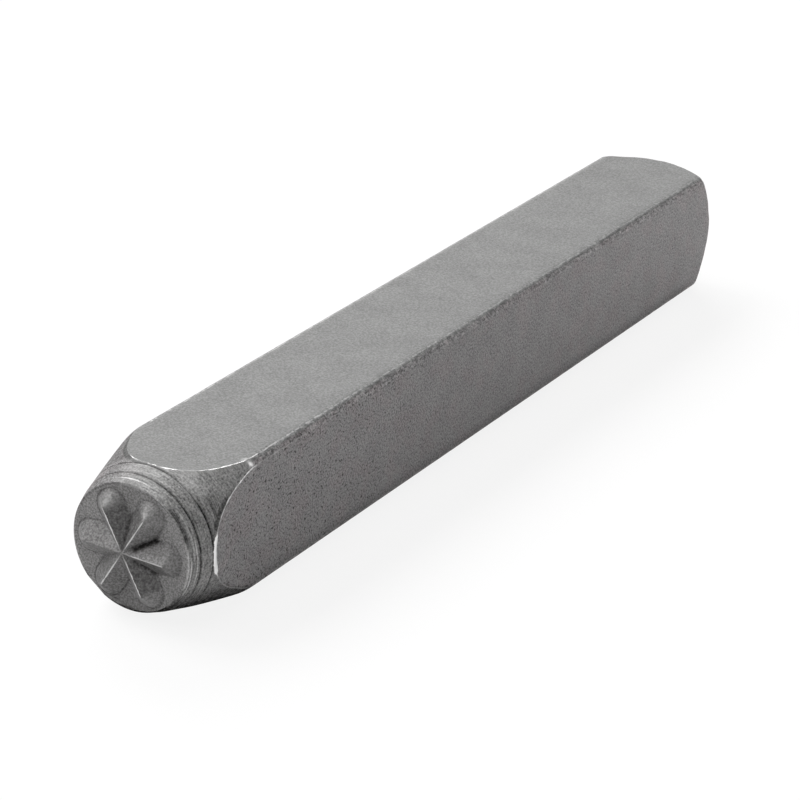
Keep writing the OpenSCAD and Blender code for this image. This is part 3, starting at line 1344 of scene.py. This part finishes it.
def steel_material(finish):
    """Hardened steel: blasted skin, ground flats, turned nose, bright edges with painted highlights, dark
    scale in pits, and painted shade and shadow on the flower, under the nose and in grooves.
    """
    material, nodes = new_material("hardened_steel")
    spot = nodes.spot()
    smooth = nodes.larger(nodes.number("ground"), nodes.number("turned"))
    pits = pit_depth(nodes, spot, smooth)
    # Dark scale and pits, with painted shade and shadow
    scale_and_shade = nodes.times(nodes.number("scale_and_shade"), nodes.speckle(SCALE_AND_SHADE_CLOUDS, spot, *SCALE_AND_SHADE_SHARES))
    scale_and_shade = nodes.larger(pits, scale_and_shade, clamp=True)
    lines = nodes.times(nodes.number("bright_lines"), nodes.speckle(LINE_BREAKS, spot, *LINE_SHARES))
    bright = nodes.larger(bright_edges(nodes, spot), bright_crests(nodes, spot))
    bright = nodes.larger(bright, lines, clamp=True)
    colour = nodes.scaled(steel_colour(nodes, spot, finish), steel_grain(nodes, spot))
    colour = nodes.scaled(colour, corner_bands(nodes, spot))
    colour = nodes.blend(scale_and_shade, colour, (*finish.scale_and_shade_colour, 1))
    colour = nodes.blend(bright, colour, (*finish.bright_colour, 1))
    relief = nodes.maths("SUBTRACT", nodes.noise(RELIEF, spot), pits)
    bump = {"Height": relief, "Strength": RELIEF_STRENGTH, "Distance": RELIEF_DEPTH}
    inputs = {
        "Base Color": colour,
        "Metallic": nodes.larger(nodes.choose(smooth, finish.metal_share, finish.fine_metal_share), bright),
        "Roughness": nodes.choose(bright, finish.roughness, finish.bright_roughness),
        "Normal": nodes.add("ShaderNodeBump", bump).outputs[0],
        "Specular IOR Level": nodes.step(scale_and_shade, 0.0, DULL_SCALE_AND_SHADE, finish.sheen, 0.0),
    }
    shader = nodes.add("ShaderNodeBsdfPrincipled", inputs)
    nodes.add("ShaderNodeOutputMaterial", {"Surface": shader.outputs[0]})
    return material


# Half width of the floor, and distances between which it turns plain white, in metres
FLOOR_HALF = 2.0
FLOOR_FADE = (0.15, 0.8)
# Sensor width in millimetres, and how near to the camera its view begins in metres
SENSOR_WIDTH = 36
VIEW_START = 0.01
# Lamps: azimuth and elevation in degrees from straight in front of the marking face, and power in watts
LAMPS = {
    "left": (-90, 50, 15.6),
    "back_left": (-135, 35, 15.1),
    "front_left": (-45, 40, 4.0),
    "overhead": (0, 89, 2.1),
    "front": (0, 60, 1.9),
}
LAMP_DISTANCE = 1.6
LAMP_SIZE = 0.8


def seen_directly(nodes):
    """One for camera, glossy and transmission rays, and nought for the rest."""
    path = nodes.add("ShaderNodeLightPath")
    seen = nodes.larger(path.outputs["Is Camera Ray"], path.outputs["Is Glossy Ray"])
    return nodes.larger(seen, path.outputs["Is Transmission Ray"])


def floor_material(studio):
    """Pale floor that looks white where nothing shades it, and keeps the stamp's shadow."""
    material, nodes = new_material("pale_floor")
    seen = seen_directly(nodes)
    faint = Vector(studio.floor_colour) * studio.shadow_share
    colour = nodes.blend(seen, (*studio.floor_colour, 1), (*faint, 1))
    plain = nodes.add("ShaderNodeBsdfDiffuse", {"Color": colour}).outputs[0]
    where = nodes.add("ShaderNodeTexCoord").outputs["Object"]
    away = nodes.add("ShaderNodeVectorMath", {0: where}, operation="LENGTH").outputs["Value"]
    lift = nodes.times(seen, nodes.step(away, *FLOOR_FADE, studio.floor_lift, 1.0))
    glow = nodes.add("ShaderNodeEmission", {"Color": (1, 1, 1, 1), "Strength": lift}).outputs[0]
    both = nodes.add("ShaderNodeAddShader", {0: plain, 1: glow}).outputs[0]
    nodes.add("ShaderNodeOutputMaterial", {"Surface": both})
    return material


def make_floor(studio):
    """Large flat floor under the stamp."""
    mesh = bpy.data.meshes.new("floor")
    sides = ((-1, -1), (1, -1), (1, 1), (-1, 1))
    mesh.from_pydata([(x * FLOOR_HALF, y * FLOOR_HALF, 0) for x, y in sides], [], [(0, 1, 2, 3)])
    mesh.materials.append(floor_material(studio))
    floor = bpy.data.objects.new("floor", mesh)
    bpy.context.scene.collection.objects.link(floor)


def direction(azimuth, elevation):
    """Direction from the stamp to something at that azimuth and elevation."""
    level = math.cos(elevation)
    return Vector((math.sin(azimuth) * level, -math.cos(azimuth) * level, math.sin(elevation)))


def make_lamp(name, azimuth, elevation, power):
    """Square soft lamp that faces the stamp."""
    data = bpy.data.lights.new(name, "AREA")
    data.size = LAMP_SIZE
    data.energy = power
    lamp = bpy.data.objects.new(name, data)
    towards = direction(math.radians(azimuth), math.radians(elevation))
    lamp.location = towards * LAMP_DISTANCE
    lamp.rotation_euler = (-towards).to_track_quat("-Z", "Y").to_euler()
    bpy.context.scene.collection.objects.link(lamp)


def make_world(studio):
    """White surround to the eye and in reflections, and a faint fill as a source of light."""
    world = bpy.data.worlds.new("studio")
    world.use_nodes = True
    nodes = Nodes(world.node_tree)
    strength = nodes.step(seen_directly(nodes), 0.0, 1.0, studio.fill, 1.0)
    back = nodes.add("ShaderNodeBackground", {"Color": (1, 1, 1, 1), "Strength": strength}).outputs[0]
    nodes.add("ShaderNodeOutputWorld", {"Surface": back})
    bpy.context.scene.world = world


def make_camera(studio):
    """Camera at the photograph's angle, with no shift and no depth of field."""
    back = direction(studio.camera_azimuth, studio.camera_elevation)
    level = Vector((0, 0, 1)).cross(back).normalized()
    upright = back.cross(level)
    right = level * math.cos(studio.camera_roll) + upright * math.sin(studio.camera_roll)
    up = back.cross(right)
    data = bpy.data.cameras.new("camera")
    data.lens = studio.lens
    data.sensor_width = SENSOR_WIDTH
    data.clip_start = VIEW_START
    camera = bpy.data.objects.new("camera", data)
    turn = Matrix((right, up, back)).transposed().to_4x4()
    place = Vector(studio.camera_aim) + back * studio.camera_distance
    camera.matrix_world = Matrix.Translation(place) @ turn
    bpy.context.scene.collection.objects.link(camera)
    bpy.context.scene.camera = camera


class STAMP_OT_body(bpy.types.Operator):
    """Build the stamp's skin with worn edges, turning lines and flower, and finish it as hardened steel"""

    bl_idname = "stamp.body"
    bl_label = "Marking stamp"

    def execute(self, context):
        scene = context.scene
        mesh = skin_mesh(scene.stamp_sizes, scene.stamp_wear)
        mesh.materials.append(steel_material(scene.stamp_finish))
        body = bpy.data.objects.new(PIECE, mesh)
        scene.collection.objects.link(body)
        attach(body, "root")
        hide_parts(SOLID)
        return {"FINISHED"}


class STAMP_OT_studio(bpy.types.Operator):
    """Set the pale floor, the soft lamps and the camera round the stamp"""

    bl_idname = "stamp.studio"
    bl_label = "Studio"

    def execute(self, context):
        studio = context.scene.stamp_studio
        make_floor(studio)
        for name, lamp in LAMPS.items():
            make_lamp(name, *lamp)
        make_world(studio)
        make_camera(studio)
        context.scene.view_settings.view_transform = "Standard"
        return {"FINISHED"}


class STAMP_PT_panel(bpy.types.Panel):
    """Lists the stamp's operators and settings"""

    bl_idname = "STAMP_PT_panel"
    bl_label = "Marking stamp"
    bl_space_type = "VIEW_3D"
    bl_region_type = "UI"
    bl_category = "Stamp"

    def draw(self, context):
        for operator in OPERATORS:
            self.layout.operator(operator.bl_idname)
        for name in GROUPS:
            group = getattr(context.scene, name)
            box = self.layout.box()
            for field in group.bl_rna.properties:
                if field.identifier not in ("rna_type", "name"):
                    box.prop(group, field.identifier)


GROUPS = {
    "stamp_sizes": StampSizes,
    "stamp_wear": StampWear,
    "stamp_finish": SteelFinish,
    "stamp_studio": StampStudio,
}
OPERATORS = (STAMP_OT_body, STAMP_OT_studio)


def register():
    """Registers the classes and gives each scene its settings."""
    for kind in (*GROUPS.values(), *OPERATORS, STAMP_PT_panel):
        bpy.utils.register_class(kind)
    for name, kind in GROUPS.items():
        setattr(bpy.types.Scene, name, PointerProperty(type=kind))


def unregister():
    """Takes back what register did."""
    for name in GROUPS:
        delattr(bpy.types.Scene, name)
    for kind in (STAMP_PT_panel, *OPERATORS, *GROUPS.values()):
        bpy.utils.unregister_class(kind)


def main():
    """Builds the stamp and its studio."""
    register()
    bpy.ops.stamp.body()
    bpy.ops.stamp.studio()


if __name__ == "__main__":
    main()
